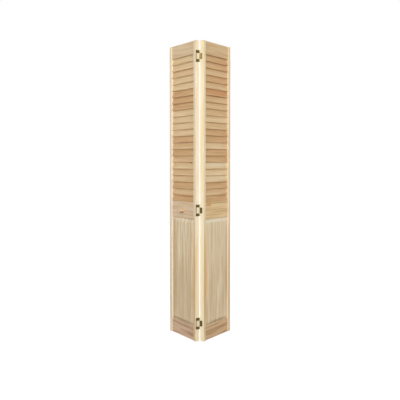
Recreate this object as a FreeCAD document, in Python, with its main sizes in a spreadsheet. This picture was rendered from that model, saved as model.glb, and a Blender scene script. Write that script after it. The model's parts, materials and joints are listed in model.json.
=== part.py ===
"""Bifold closet door: two pine leaves, louvered above and panelled below, on three hinges.

Every piece is drawn with the door closed and flat: X runs across the door from the hinge pins'
axis, the front faces -Y and Z is up. The pivot leaf lies on +X and the lead leaf on -X. The
placement of each piece then swings its leaf back about the pins' axis by the fold angle, and
brings the origin under the middle of the folded door.
"""
import FreeCAD, Part
import math
import os
import re
import Sketcher

PIVOT, LEAD = 1, -1
LEFT, RIGHT = 1, -1
LEAF_NAMES = {PIVOT: "pivot", LEAD: "lead"}

# Driving sizes in millimetres, angles in degrees.
SIZES = {
    "door_height": 2000.25,
    "closed_width": 704.85,
    "leaf_thickness": 28.575,
    "leaf_gap": 3.2,
    "fold_angle": 58.2,
    "stile_width": 25.4,
    "stile_easing": 1.2,
    "rail_thickness": 17.5,
    "top_rail_height": 86,
    "mid_rail_height": 113,
    "panel_opening_top": 815,
    "bottom_rail_height": 95,
    "rabbet_lip": 5.5,
    "sticking_height": 11,
    "sticking_radius": 9,
    "sticking_quirk": 0.7,
    "groove_depth": 10,
    "tongue_thickness": 6.4,
    "tongue_slack": 0.6,
    "tongue_fit": 0.1,
    "panel_bevel": 28,
    "panel_shoulder": 9,
    "panel_shoulder_rise": 2.7,
    "panel_step": 0.6,
    "slat_spacing": 44.8,
    "slat_width": 52,
    "slat_thickness": 5.6,
    "slat_chamfer": 1.6,
    "slat_tilt": 12.5,
    "slat_sill_gap": 2,
    "slat_head_gap": 2.5,
    "housing_depth": 8,
    "housing_end_gap": 0.4,
    "housing_fit": 0.15,
    "dowel_diameter": 8,
    "dowel_fit": 0.1,
    "dowel_in_stile": 18,
    "dowel_in_rail": 24,
    "dowel_end_gap": 0.8,
    "dowel_margin": 5,
    "bore_diameter": 9.525,
    "bore_depth": 32,
    "hinge_inset": 103,
    "hinge_foot": 119,
    "mid_hinge_lift": 6.5,
    "hinge_height": 77,
    "hinge_plate": 2,
    "hinge_reach": 24.5,
    "hinge_strip": 3.4,
    "hinge_corner": 2.5,
    "window_height": 40.2,
    "inner_reach": 17,
    "nest_gap": 0.7,
    "pin_setback": 3.3,
    "pin_diameter": 3.2,
    "pin_running_gap": 0.05,
    "knuckle_diameter": 6,
    "pin_head_diameter": 5.2,
    "pin_head_height": 1.2,
    "screw_length": 15.9,
    "screw_diameter": 3.5,
    "screw_head_diameter": 7,
    "screw_head_height": 1.7,
    "screw_fit": 0.05,
    "screw_from_pin": 16,
    "inner_screw_from_pin": 13,
    "inner_screw_spacing": 21,
    "knob_diameter": 32,
    "knob_projection": 28,
    "knob_base_diameter": 19,
    "knob_neck_diameter": 14,
    "knob_neck_reach": 7.6,
    "knob_cheek_reach": 15,
    "knob_rim_reach": 20,
    "knob_shoulder_diameter": 25.2,
    "knob_shoulder_reach": 25.2,
    "knob_face_diameter": 14,
    "knob_from_hinge": 167,
    "knob_drop": 4.5,
    "knob_screw_diameter": 4.2,
    "knob_screw_grip": 12,
    "knob_screw_end_gap": 0.5,
    "knob_head_diameter": 8,
    "knob_head_height": 2.4,
}

# Sizes that follow from the driving ones.
LEAF_WIDTH = "((closed_width - leaf_gap) / 2)"
HALF_GAP = "(leaf_gap / 2)"
LEAF_OUTER = f"({HALF_GAP} + {LEAF_WIDTH})"
HINGE_STILE_INNER = f"({HALF_GAP} + stile_width)"
OUTER_STILE_INNER = f"({LEAF_OUTER} - stile_width)"
LEAF_MIDDLE = f"({HALF_GAP} + {LEAF_WIDTH} / 2)"
OPENING_WIDTH = f"({LEAF_WIDTH} - 2 * stile_width)"

BACK = "(-pin_setback)"
FRONT = f"({BACK} - leaf_thickness)"
MID_DEPTH = f"({BACK} - leaf_thickness / 2)"
RAIL_FRONT = f"({MID_DEPTH} - rail_thickness / 2)"
RAIL_BACK = f"({MID_DEPTH} + rail_thickness / 2)"
GROOVE_HALF = "(tongue_thickness / 2 + tongue_fit)"

TOP_RAIL_FOOT = "(door_height - top_rail_height)"
MID_RAIL_TOP = "(panel_opening_top + mid_rail_height)"
MID_RAIL_MIDDLE = "(panel_opening_top + mid_rail_height / 2)"
LOUVER_HEIGHT = f"({TOP_RAIL_FOOT} - {MID_RAIL_TOP})"
SLAT_COUNT = f"(round({LOUVER_HEIGHT} / slat_spacing))"
SLAT_PITCH = f"({LOUVER_HEIGHT} / {SLAT_COUNT})"
SLAT_RISE = "(slat_width * cos(slat_tilt) + (slat_thickness - 2 * slat_chamfer) * sin(slat_tilt))"
SLAT_MIDDLE = f"({MID_RAIL_TOP} + slat_sill_gap + {SLAT_RISE} / 2)"
RABBET_TOP = f"({TOP_RAIL_FOOT} - {SLAT_PITCH} + slat_sill_gap + {SLAT_RISE} + slat_head_gap)"
PANEL_FOOT = "(bottom_rail_height - groove_depth)"
PANEL_HEAD = "(panel_opening_top + groove_depth)"

HINGE_HEIGHTS = {
    "top": f"({TOP_RAIL_FOOT} + top_rail_height - hinge_inset)",
    "mid": f"({MID_RAIL_MIDDLE} + mid_hinge_lift)",
    "bottom": "(hinge_foot)",
}
OUTER_SCREW = "((hinge_height + window_height) / 4)"
INNER_SCREW = "(inner_screw_spacing / 2)"
INNER_HEIGHT = "(window_height - 2 * nest_gap)"
BORE_RADIUS = "(pin_diameter / 2 + pin_running_gap)"
SCREW_RADIUS = "(screw_diameter / 2)"
SCREW_HOLE = f"({SCREW_RADIUS} + screw_fit)"
SCREW_HEAD = "(screw_head_diameter / 2 - screw_fit)"
SCREW_SINK = "(screw_head_diameter / 2)"
PLATE_FACE = f"({HALF_GAP} - hinge_plate)"
KNOB_X = f"({HALF_GAP} + knob_from_hinge)"
KNOB_HEIGHT = f"({MID_RAIL_MIDDLE} - knob_drop)"
KNOB_HOLE = "(knob_screw_diameter / 2 + screw_fit)"

# Dowels, screws and their holes are eight-sided, which keeps a model with so many of them light.
FASTENER_SIDES = 8
FACET_TURN = 360 // FASTENER_SIDES

DOWEL_HEIGHTS = {
    "top": (f"({HINGE_HEIGHTS['top']} + {OUTER_SCREW} + dowel_diameter / 2 + dowel_margin)",
            "(door_height - bore_depth - dowel_diameter / 2 - dowel_margin)"),
    "mid": (f"({HINGE_HEIGHTS['mid']} - ({OUTER_SCREW} + {INNER_SCREW}) / 2)",
            f"({HINGE_HEIGHTS['mid']} + ({OUTER_SCREW} + {INNER_SCREW}) / 2)"),
    "bottom": ("(bore_depth + dowel_diameter / 2 + dowel_margin)",
               f"({PANEL_FOOT} - dowel_diameter / 2 - dowel_margin)"),
}
DOWEL_SPOTS = [height for pair in DOWEL_HEIGHTS.values() for height in pair]

# The folded door's foremost and rearmost reach from the pins' axis, at the stiles' eased corners.
FOREMOST = (f"(sin(fold_angle) * ({HALF_GAP} + stile_easing)"
            f" - cos(fold_angle) * (pin_setback + leaf_thickness - stile_easing) - stile_easing)")
REARMOST = (f"(sin(fold_angle) * ({LEAF_OUTER} - stile_easing)"
            f" - cos(fold_angle) * (pin_setback + stile_easing) + stile_easing)")
PIN_Y = f"(-({FOREMOST} + {REARMOST}) / 2)"

# Two points nearer than this are one, and two directions whose product passes this are parallel.
SAME_SPOT = 1e-6
PARALLEL = 0.999

doc = FreeCAD.newDocument("bifold_door")
pieces = []


def make_sheet():
    sheet = doc.addObject("Spreadsheet::Sheet", "Sizes")
    for row, (alias, size) in enumerate(SIZES.items(), start=1):
        sheet.set(f"A{row}", alias)
        sheet.set(f"B{row}", str(size))
        sheet.setAlias(f"B{row}", alias)
    doc.recompute()
    return sheet


def linked(formula):
    """Write a formula of size names as an expression that reads the sheet."""
    def cell(match):
        word = match.group(0)
        return f"Sizes.{word}" if word in SIZES else word
    return re.sub(r"[a-z_]+", cell, str(formula))


def value(formula):
    return float(sheet.evalExpression(linked(formula)))


def bind(thing, **formulas):
    """Bind properties; a double underscore stands for a dot in the property's path."""
    for path, formula in formulas.items():
        thing.setExpression(path.replace("__", "."), linked(formula))


def on(hand, formula):
    """A closed-door X coordinate on the pivot leaf, or its mirror on the lead leaf."""
    return formula if hand == PIVOT else f"(-{formula})"


# Placing and naming

def place(piece, hand, height="0"):
    piece.Placement = FreeCAD.Placement(FreeCAD.Vector(), FreeCAD.Rotation(FreeCAD.Vector(0, 0, 1), 1))
    bind(piece, Placement__Base__y=PIN_Y, Placement__Base__z=height,
         Placement__Rotation__Angle=f"{hand} * fold_angle")


def new_body(label):
    body = doc.addObject("PartDesign::Body", label)
    body.Label = label
    return body


def finish(piece, hand, height="0"):
    place(piece, hand, height)
    pieces.append(piece)
    doc.recompute()


# Sketch helpers

def sketch_on(body, name, plane, offset="0", across="0", up="0"):
    """A sketch on one of the body's planes, moved along its normal and within the plane."""
    sketch = body.newObject("Sketcher::SketchObject", name)
    base = next(f for f in body.Origin.OriginFeatures if f.Role == plane)
    sketch.AttachmentSupport = (base, [""])
    sketch.MapMode = "FlatFace"
    bind(sketch, AttachmentOffset__Base__x=across, AttachmentOffset__Base__y=up,
         AttachmentOffset__Base__z=offset)
    return sketch


def pin_point(sketch, geometry, point, across, up):
    """Hold a point of the sketch at named distances from the sketch's origin."""
    for kind, formula in (("DistanceX", across), ("DistanceY", up)):
        index = sketch.addConstraint(
            Sketcher.Constraint(kind, -1, 1, geometry, point, value(formula)))
        sketch.setExpression(f"Constraints[{index}]", linked(formula))


def set_radius(sketch, geometry, formula):
    index = sketch.addConstraint(Sketcher.Constraint("Radius", geometry, value(formula)))
    sketch.setExpression(f"Constraints[{index}]", linked(formula))


def arc_between(start, end, radius, bulge):
    """An arc from start to end that bulges to the LEFT or the RIGHT of its way."""
    chord = end - start
    half = chord.Length / 2
    side = FreeCAD.Vector(-chord.y, chord.x, 0).normalize() * bulge
    centre = (start + end) / 2 - side * math.sqrt(radius ** 2 - half ** 2)
    return Part.Arc(start, centre + side * radius, end), centre


def outline(sketch, corners):
    """A closed outline. A corner is (across, up), or (across, up, radius, bulge) where an arc
    leads on to the next corner."""
    spots = [FreeCAD.Vector(value(c[0]), value(c[1]), 0) for c in corners]
    joints = []
    for index, corner in enumerate(corners):
        start, end = spots[index], spots[(index + 1) % len(spots)]
        if len(corner) == 2:
            geometry = sketch.addGeometry(Part.LineSegment(start, end))
            joints.append((geometry, 1, 2))
        else:
            arc, centre = arc_between(start, end, value(corner[2]), corner[3])
            geometry = sketch.addGeometry(arc)
            first = sketch.getPoint(geometry, 1)
            same = first.distanceToPoint(start) < SAME_SPOT
            joints.append((geometry, 1, 2) if same else (geometry, 2, 1))
            set_radius(sketch, geometry, corner[2])
    for index, (geometry, head, tail) in enumerate(joints):
        following, next_head, _ = joints[(index + 1) % len(joints)]
        sketch.addConstraint(Sketcher.Constraint("Coincident", geometry, tail, following, next_head))
        pin_point(sketch, geometry, head, corners[index][0], corners[index][1])


def rectangle(sketch, left, right, low, high):
    outline(sketch, [(left, low), (right, low), (right, high), (left, high)])


def circle(sketch, across, up, radius):
    spot = FreeCAD.Vector(value(across), value(up), 0)
    geometry = sketch.addGeometry(Part.Circle(spot, FreeCAD.Vector(0, 0, 1), value(radius)))
    pin_point(sketch, geometry, 3, across, up)
    set_radius(sketch, geometry, radius)


def octagon(sketch, across, up, radius):
    """The eight-sided section of a fastener or of its hole; radius reaches to the corners."""
    outline(sketch, [(f"({across} + {radius} * cos({turn}))", f"({up} + {radius} * sin({turn}))")
                     for turn in range(0, 360, FACET_TURN)])


# Feature helpers

def pad(body, sketch, length, name="Pad"):
    feature = body.newObject("PartDesign::Pad", name)
    feature.Profile = sketch
    feature.SideType = "Symmetric"
    bind(feature, Length=length)
    doc.recompute()
    return feature


def pocket(body, sketch, depth, name="Pocket"):
    """Cut to the depth on both sides of the sketch, so that one side falls in open air."""
    feature = body.newObject("PartDesign::Pocket", name)
    feature.Profile = sketch
    feature.SideType = "Symmetric"
    bind(feature, Length=f"2 * ({depth})")
    doc.recompute()
    return feature


def taper(body, sketch, kind, reversed_way, wide, narrow, depth):
    """A screw's head, or the sink for one: from wide in the sketch's plane down to narrow."""
    feature = body.newObject(f"PartDesign::{kind}", "Taper")
    feature.Profile = sketch
    feature.SideType = "One side"
    feature.Reversed = reversed_way
    bind(feature, Length=depth,
         TaperAngle=f"(-atan(({wide} - {narrow}) * cos({FACET_TURN} / 2) / {depth}))")
    doc.recompute()


def climb(body, feature, count, pitch):
    """Repeat a feature up the height of the door."""
    pattern = body.newObject("PartDesign::LinearPattern", "Climb")
    pattern.Originals = [feature]
    pattern.Direction = (next(f for f in body.Origin.OriginFeatures if f.Role == "Z_Axis"), [""])
    pattern.Mode = "Spacing"
    bind(pattern, Offset=pitch, Occurrences=count)
    body.Tip = pattern
    doc.recompute()
    return pattern


def edges_along(shape, direction):
    """Names of the straight edges that run along a direction."""
    names = []
    for index, edge in enumerate(shape.Edges, start=1):
        if edge.Curve.TypeId == "Part::GeomLine" and abs(edge.Curve.Direction.dot(direction)) > PARALLEL:
            names.append(f"Edge{index}")
    return names


def ease(body, feature, direction, radius, name="Easing"):
    fillet = body.newObject("PartDesign::Fillet", name)
    fillet.Base = (feature, edges_along(feature.Shape, direction))
    bind(fillet, Radius=radius)
    doc.recompute()
    return fillet


# Wooden pieces

def slat_section(sketch, clearance):
    """The lowest slat's section: front edge low, back edge high, all four corners chamfered."""
    width, thickness = f"(slat_width / 2 + {clearance})", f"(slat_thickness / 2 + {clearance})"
    width_in, thickness_in = f"({width} - slat_chamfer)", f"({thickness} - slat_chamfer)"
    corners = [(width, thickness_in), (width_in, thickness),
               (f"(-{width_in})", thickness), (f"(-{width})", thickness_in),
               (f"(-{width})", f"(-{thickness_in})"), (f"(-{width_in})", f"(-{thickness})"),
               (width_in, f"(-{thickness})"), (width, f"(-{thickness_in})")]
    outline(sketch, [(f"({MID_DEPTH} + {along} * sin(slat_tilt) + {across} * cos(slat_tilt))",
                      f"({SLAT_MIDDLE} + {along} * cos(slat_tilt) - {across} * sin(slat_tilt))")
                     for along, across in corners])


def make_stile(hand, role):
    label = f"{LEAF_NAMES[hand]}_{role}_stile"
    body = new_body(label)
    at_hinge = role == "hinge"
    near, far = (HALF_GAP, HINGE_STILE_INNER) if at_hinge else (OUTER_STILE_INNER, LEAF_OUTER)
    inner = HINGE_STILE_INNER if at_hinge else OUTER_STILE_INNER
    section = sketch_on(body, "Section", "XY_Plane", offset="door_height / 2")
    rectangle(section, on(hand, near), on(hand, far), FRONT, BACK)
    length = pad(body, section, "door_height", "Length")
    ease(body, length, FreeCAD.Vector(0, 0, 1), "stile_easing")

    groove = sketch_on(body, "Groove", "YZ_Plane", offset=on(hand, inner))
    rectangle(groove, f"({MID_DEPTH} - {GROOVE_HALF})", f"({MID_DEPTH} + {GROOVE_HALF})",
              PANEL_FOOT, PANEL_HEAD)
    pocket(body, groove, "groove_depth", "PanelGroove")

    joint = sketch_on(body, "DowelSpots", "YZ_Plane", offset=on(hand, inner))
    for height in DOWEL_SPOTS:
        octagon(joint, MID_DEPTH, height, "(dowel_diameter / 2 + dowel_fit)")
    pocket(body, joint, "dowel_in_stile", "DowelHoles")

    if at_hinge:
        cut_pilot_holes(body, hand)
    else:
        cut_end_bores(body, hand)

    housing = sketch_on(body, "Housing", "YZ_Plane", offset=on(hand, inner))
    slat_section(housing, "housing_fit")
    first = pocket(body, housing, "housing_depth", "SlatHousing")
    climb(body, first, SLAT_COUNT, SLAT_PITCH)
    finish(body, hand)


def cut_end_bores(body, hand):
    """The pivot pins seat in the pivot leaf's outer stile, the track guide in the lead leaf's."""
    ends = {"Top": "door_height"}
    if hand == PIVOT:
        ends["Bottom"] = "0"
    for end, height in ends.items():
        mouth = sketch_on(body, f"{end}Bore", "XY_Plane", offset=height)
        circle(mouth, on(hand, f"({LEAF_OUTER} - stile_width / 2)"), MID_DEPTH, "(bore_diameter / 2)")
        pocket(body, mouth, "bore_depth", f"{end}EndBore")


def hinge_screw_spots(hand):
    """Depth and height of each hinge screw, from the pins' axis and the hinge's middle."""
    if hand == LEAD:
        return [("(-screw_from_pin)", f"({side} * {OUTER_SCREW})") for side in (-1, 1)]
    return [("(-inner_screw_from_pin)", f"({side} * {INNER_SCREW})") for side in (-1, 1)]


def cut_pilot_holes(body, hand):
    spots = sketch_on(body, "ScrewSpots", "YZ_Plane", offset=on(hand, HALF_GAP))
    for centre in HINGE_HEIGHTS.values():
        for depth, height in hinge_screw_spots(hand):
            octagon(spots, depth, f"({centre} + {height})", SCREW_HOLE)
    pocket(body, spots, "screw_length", "PilotHoles")


def sticking(front, back, edge, way):
    """Corners of a rail's edge that faces the panel: a rounded moulding on each face and the
    groove between them. The corners run from front to back; way is 1 for an edge facing up."""
    shoulder = f"({edge} - ({way}) * sticking_height)"
    groove_front = f"({MID_DEPTH} - {GROOVE_HALF})"
    groove_back = f"({MID_DEPTH} + {GROOVE_HALF})"
    floor = f"({edge} - ({way}) * groove_depth)"
    bulge = LEFT if way == 1 else RIGHT
    return [
        (front, shoulder, "sticking_radius", bulge),
        (f"({groove_front} - sticking_quirk)", edge),
        (groove_front, edge),
        (groove_front, floor),
        (groove_back, floor),
        (groove_back, edge),
        (f"({groove_back} + sticking_quirk)", edge, "sticking_radius", bulge),
        (back, shoulder),
    ]


def rail_section(which):
    if which == "top":
        lip_back = f"({RAIL_FRONT} + rabbet_lip)"
        return [(RAIL_FRONT, TOP_RAIL_FOOT), (RAIL_FRONT, "door_height"), (RAIL_BACK, "door_height"),
                (RAIL_BACK, RABBET_TOP), (lip_back, RABBET_TOP), (lip_back, TOP_RAIL_FOOT)]
    if which == "mid":
        lower = sticking(RAIL_FRONT, RAIL_BACK, "panel_opening_top", -1)
        return lower + [(RAIL_BACK, MID_RAIL_TOP), (RAIL_FRONT, MID_RAIL_TOP)]
    upper = sticking(RAIL_FRONT, RAIL_BACK, "bottom_rail_height", 1)
    return upper + [(RAIL_BACK, "0"), (RAIL_FRONT, "0")]


def make_rail(hand, which):
    body = new_body(f"{LEAF_NAMES[hand]}_{which}_rail")
    section = sketch_on(body, "Section", "YZ_Plane", offset=on(hand, LEAF_MIDDLE))
    outline(section, rail_section(which))
    pad(body, section, OPENING_WIDTH, "Length")
    for end, across in (("Hinge", HINGE_STILE_INNER), ("Outer", OUTER_STILE_INNER)):
        joint = sketch_on(body, f"{end}DowelSpots", "YZ_Plane", offset=on(hand, across))
        for height in DOWEL_HEIGHTS[which]:
            octagon(joint, MID_DEPTH, height, "(dowel_diameter / 2 + dowel_fit)")
        pocket(body, joint, "dowel_in_rail", f"{end}DowelHoles")
    if hand == LEAD and which == "mid":
        hole = sketch_on(body, "KnobHole", "XZ_Plane", offset=f"(-{MID_DEPTH})")
        octagon(hole, on(hand, KNOB_X), KNOB_HEIGHT, KNOB_HOLE)
        pocket(body, hole, "leaf_thickness / 2", "KnobScrewHole")
    finish(body, hand)


def panel_box(hand, inset):
    """Left, right, foot and head of the panel's opening, drawn in by an inset."""
    near, far = f"({HINGE_STILE_INNER} + {inset})", f"({OUTER_STILE_INNER} - {inset})"
    left, right = (near, far) if hand == PIVOT else (on(hand, far), on(hand, near))
    return left, right, f"(bottom_rail_height + {inset})", f"(panel_opening_top - {inset})"


def slope(body, face, outer, inner, root, crest):
    """One slope of a raised panel, from the outer box at root up to the inner box at crest; both
    are depths from the panel's middle, towards the front (-1) or the back (1) face."""
    low, high = (inner, outer) if face < 0 else (outer, inner)
    y_low, y_high = (crest, root) if face < 0 else (root, crest)
    wedge = body.newObject("PartDesign::AdditiveWedge", "Slope")
    bind(wedge, Ymin=f"({MID_DEPTH} + {face} * {y_low})", Ymax=f"({MID_DEPTH} + {face} * {y_high})",
         Xmin=low[0], Xmax=low[1], Zmin=low[2], Zmax=low[3],
         X2min=high[0], X2max=high[1], Z2min=high[2], Z2max=high[3])
    doc.recompute()


def make_panel(hand):
    """A panel raised on both faces: a tongue all round, a steep shoulder, a long bevel up to a
    small step, and a flat field."""
    body = new_body(f"{LEAF_NAMES[hand]}_panel")
    middle = f"(-{MID_DEPTH})"
    plate = sketch_on(body, "Tongue", "XZ_Plane", offset=middle)
    rectangle(plate, *panel_box(hand, "(tongue_slack - groove_depth)"))
    pad(body, plate, "tongue_thickness", "TonguePlate")

    sight = panel_box(hand, "0")
    shoulder = panel_box(hand, "panel_shoulder")
    field = panel_box(hand, "panel_bevel")
    root, ridge = "(tongue_thickness / 2)", "(tongue_thickness / 2 + panel_shoulder_rise)"
    crest = "(rail_thickness / 2 - panel_step)"
    for face in (-1, 1):
        slope(body, face, sight, shoulder, root, ridge)
        slope(body, face, shoulder, field, ridge, crest)
    raised = sketch_on(body, "Field", "XZ_Plane", offset=middle)
    rectangle(raised, *field)
    pad(body, raised, "rail_thickness", "FieldPlate")
    finish(body, hand)


def make_slats(hand):
    body = new_body(f"{LEAF_NAMES[hand]}_slats")
    body.AllowCompound = True
    section = sketch_on(body, "Section", "YZ_Plane", offset=on(hand, LEAF_MIDDLE))
    slat_section(section, "0")
    first = pad(body, section, f"({OPENING_WIDTH} + 2 * (housing_depth - housing_end_gap))", "Slat")
    climb(body, first, SLAT_COUNT, SLAT_PITCH)
    finish(body, hand)


def make_dowels(hand):
    """Two dowels at each end of each rail, half hidden in the rail and half in the stile."""
    body = new_body(f"{LEAF_NAMES[hand]}_dowels")
    body.AllowCompound = True
    for end, seam, way in (("Hinge", HINGE_STILE_INNER, 1), ("Outer", OUTER_STILE_INNER, -1)):
        middle = f"({seam} + ({way}) * (dowel_in_rail - dowel_in_stile) / 2)"
        spots = sketch_on(body, f"{end}DowelSpots", "YZ_Plane", offset=on(hand, middle))
        for height in DOWEL_SPOTS:
            octagon(spots, MID_DEPTH, height, "(dowel_diameter / 2)")
        pad(body, spots, "dowel_in_stile + dowel_in_rail - 2 * dowel_end_gap", f"{end}Dowels")
    finish(body, hand)


# Hinges

def bore_knuckles(body, half):
    drill = sketch_on(body, "PinBore", "XY_Plane")
    circle(drill, "0", "0", BORE_RADIUS)
    pocket(body, drill, half, "PinBore")


def add_knuckle(body, low, high, name):
    ring = sketch_on(body, f"{name}Ring", "XY_Plane", offset=f"(({low} + {high}) / 2)")
    circle(ring, "0", "0", "(knuckle_diameter / 2)")
    pad(body, ring, f"({high} - {low})", name)


def sink_screws(body, hand):
    """Countersunk holes whose mouths lie in the plate's open face."""
    spots = hinge_screw_spots(hand)
    mouths = sketch_on(body, "SinkSpots", "YZ_Plane", offset=on(hand, PLATE_FACE))
    holes = sketch_on(body, "HoleSpots", "YZ_Plane", offset=on(hand, PLATE_FACE))
    for depth, height in spots:
        octagon(mouths, depth, height, SCREW_SINK)
        octagon(holes, depth, height, SCREW_HOLE)
    taper(body, mouths, "Pocket", hand == PIVOT, SCREW_SINK, SCREW_HOLE, "screw_head_height")
    pocket(body, holes, "hinge_plate", "ScrewHoles")


def make_outer_leaf(name, height):
    """The hinge leaf on the lead stile: a C-shaped plate round the window, two knuckles."""
    body = new_body(f"{name}_hinge_outer_leaf")
    free = "(-(pin_setback + hinge_reach))"
    half, window = "(hinge_height / 2)", "(window_height / 2)"
    plate = sketch_on(body, "Plate", "YZ_Plane", offset=f"(-{HALF_GAP} + hinge_plate / 2)")
    outline(plate, [
        (f"({free} + hinge_corner)", f"(-{half})"), ("0", f"(-{half})"),
        ("0", f"(-{window})"), (f"({free} + hinge_strip)", f"(-{window})"),
        (f"({free} + hinge_strip)", window), ("0", window), ("0", half),
        (f"({free} + hinge_corner)", half, "hinge_corner", RIGHT),
        (free, f"({half} - hinge_corner)"),
        (free, f"(-{half} + hinge_corner)", "hinge_corner", RIGHT),
    ])
    pad(body, plate, "hinge_plate", "PlateBody")
    add_knuckle(body, window, half, "UpperKnuckle")
    add_knuckle(body, f"(-{half})", f"(-{window})", "LowerKnuckle")
    bore_knuckles(body, half)
    sink_screws(body, LEAD)
    finish(body, LEAD, height)


def make_inner_leaf(name, height):
    """The hinge leaf on the pivot stile: it nests in the other's window, one knuckle."""
    body = new_body(f"{name}_hinge_inner_leaf")
    free = "(-(pin_setback + inner_reach))"
    half = f"({INNER_HEIGHT} / 2)"
    plate = sketch_on(body, "Plate", "YZ_Plane", offset=f"({HALF_GAP} - hinge_plate / 2)")
    outline(plate, [
        (f"({free} + hinge_corner)", f"(-{half})"), ("0", f"(-{half})"), ("0", half),
        (f"({free} + hinge_corner)", half, "hinge_corner", RIGHT),
        (free, f"({half} - hinge_corner)"),
        (free, f"(-{half} + hinge_corner)", "hinge_corner", RIGHT),
    ])
    pad(body, plate, "hinge_plate", "PlateBody")
    add_knuckle(body, f"(-{half})", half, "Knuckle")
    bore_knuckles(body, half)
    sink_screws(body, PIVOT)
    finish(body, PIVOT, height)


def make_pin(name, height):
    """The hinge pin: a head above, and a lower end staked flush with the knuckle."""
    body = new_body(f"{name}_hinge_pin")
    half, shank, head = "(hinge_height / 2)", "(pin_diameter / 2)", "(pin_head_diameter / 2)"
    head_top = f"({half} + pin_head_height)"
    section = sketch_on(body, "HalfSection", "XZ_Plane")
    outline(section, [("0", f"(-{half})"), (shank, f"(-{half})"), (shank, half),
                      (head, half), (head, head_top), ("0", head_top)])
    turn(body, section, "V_Axis")
    finish(body, LEAD, height)


def turn(body, sketch, axis):
    feature = body.newObject("PartDesign::Revolution", "Turning")
    feature.Profile = sketch
    feature.ReferenceAxis = (sketch, [axis])
    doc.recompute()
    return feature


def make_hinge_screws(hand):
    """Countersunk screws, their heads flush with the hinge plates' open faces."""
    body = new_body(f"{LEAF_NAMES[hand]}_hinge_screws")
    body.AllowCompound = True
    length = "(screw_length - screw_fit)"
    heads = sketch_on(body, "HeadSpots", "YZ_Plane", offset=on(hand, PLATE_FACE))
    shanks = sketch_on(body, "ShankSpots", "YZ_Plane", offset=on(hand, f"({PLATE_FACE} + {length} / 2)"))
    for centre in HINGE_HEIGHTS.values():
        for depth, height in hinge_screw_spots(hand):
            octagon(heads, depth, f"({centre} + {height})", SCREW_HEAD)
            octagon(shanks, depth, f"({centre} + {height})", SCREW_RADIUS)
    taper(body, heads, "Pad", hand == LEAD, SCREW_HEAD, SCREW_RADIUS, "screw_head_height")
    pad(body, shanks, length, "Shanks")
    finish(body, hand)


# Knob

def make_knob():
    """A turned knob: a foot tapering to the neck, a flared cheek, a rim and a bevelled face."""
    body = new_body("knob")
    section = sketch_on(body, "HalfSection", "XY_Plane", offset=KNOB_HEIGHT,
                        across=on(LEAD, KNOB_X), up=RAIL_FRONT)
    outline(section, [
        ("0", "0"),
        ("(knob_base_diameter / 2)", "0"),
        ("(knob_neck_diameter / 2)", "(-knob_neck_reach)"),
        ("(knob_diameter / 2)", "(-knob_cheek_reach)"),
        ("(knob_diameter / 2)", "(-knob_rim_reach)"),
        ("(knob_shoulder_diameter / 2)", "(-knob_shoulder_reach)"),
        ("(knob_face_diameter / 2)", "(-knob_projection)"),
        ("0", "(-knob_projection)"),
    ])
    turn(body, section, "V_Axis")
    hole = sketch_on(body, "ScrewSpot", "XZ_Plane", offset=f"(-{RAIL_FRONT})")
    octagon(hole, on(LEAD, KNOB_X), KNOB_HEIGHT, KNOB_HOLE)
    pocket(body, hole, "knob_screw_grip", "ScrewHole")
    finish(body, LEAD)


def make_knob_screw():
    """A pan-headed screw from behind, through the mid rail and into the knob."""
    body = new_body("knob_screw")
    length = "(rail_thickness + knob_screw_grip - knob_screw_end_gap)"
    shank = sketch_on(body, "Shank", "XZ_Plane", offset=f"({length} / 2 - {RAIL_BACK})")
    octagon(shank, on(LEAD, KNOB_X), KNOB_HEIGHT, "(knob_screw_diameter / 2)")
    pad(body, shank, length, "ShankBody")
    head = sketch_on(body, "Head", "XZ_Plane", offset=f"(-{RAIL_BACK} - knob_head_height / 2)")
    octagon(head, on(LEAD, KNOB_X), KNOB_HEIGHT, "(knob_head_diameter / 2)")
    pad(body, head, "knob_head_height", "HeadBody")
    finish(body, LEAD)


def make_leaf(hand):
    for role in ("outer", "hinge"):
        make_stile(hand, role)
    for which in ("top", "mid", "bottom"):
        make_rail(hand, which)
    make_panel(hand)
    make_slats(hand)
    make_dowels(hand)
    make_hinge_screws(hand)


def check_and_export():
    doc.recompute()
    for thing in doc.Objects:
        faults = [word for word in thing.State if word in ("Invalid", "Error")]
        if faults:
            raise RuntimeError(f"{thing.Name} ({thing.Label}) is {faults}")
    for piece in pieces:
        if piece.Shape.isNull() or not piece.Shape.isValid():
            raise RuntimeError(f"{piece.Label} has no valid shape")
    os.makedirs("parts", exist_ok=True)
    for piece in pieces:
        piece.Shape.exportStep(f"parts/{piece.Label}.step")
        print(f"{piece.Label}: {len(piece.Shape.Solids)} solids, {piece.Shape.Volume / 1000:.1f} cm3")


sheet = make_sheet()
for leaf_hand in (PIVOT, LEAD):
    make_leaf(leaf_hand)
for hinge_name, hinge_height in HINGE_HEIGHTS.items():
    make_outer_leaf(hinge_name, hinge_height)
    make_inner_leaf(hinge_name, hinge_height)
    make_pin(hinge_name, hinge_height)
make_knob()
make_knob_screw()
check_and_export()
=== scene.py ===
"""The finish of a bifold closet door: bare pine leaves, bronzed hinges and a turned birch knob.

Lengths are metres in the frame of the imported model. A leaf also has coordinates of its own, as it
hangs when the door is closed flat: x runs across the door from the hinge pins, towards + on the
pivot leaf and towards - on the lead leaf, the front faces -y, and z is up.
"""
import json
import math

import bmesh
import bpy
from mathutils import Matrix, Vector


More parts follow.
